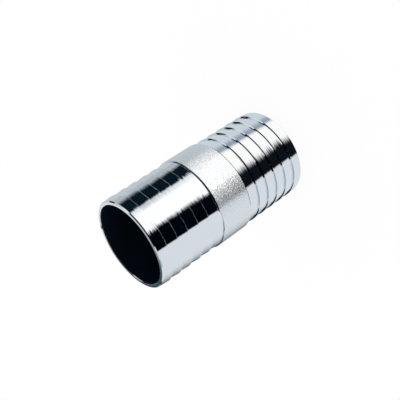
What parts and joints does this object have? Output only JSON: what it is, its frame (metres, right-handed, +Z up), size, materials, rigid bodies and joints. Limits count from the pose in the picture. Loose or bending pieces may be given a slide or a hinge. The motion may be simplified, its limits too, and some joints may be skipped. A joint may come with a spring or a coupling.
{
  "type": "hose barb repair connector",
  "caption": "Straight zinc-plated steel tube, barbed at each end with a plain raised band between, that joins the cut ends of a burst hose.",
  "frame": {"origin": "centre of the lower end face, on the tube's axis", "axes": "+Z up along the tube's axis, from one hose end to the other"},
  "size_m": [0.0518, 0.0518, 0.1],
  "materials": {
    "zinc_plated_steel": "bright zinc plating over turned steel, matt where the band keeps the tube's own surface"
  },
  "bodies": {
    "root": {"connector_body": "zinc_plated_steel"}
  },
  "joints": []
}
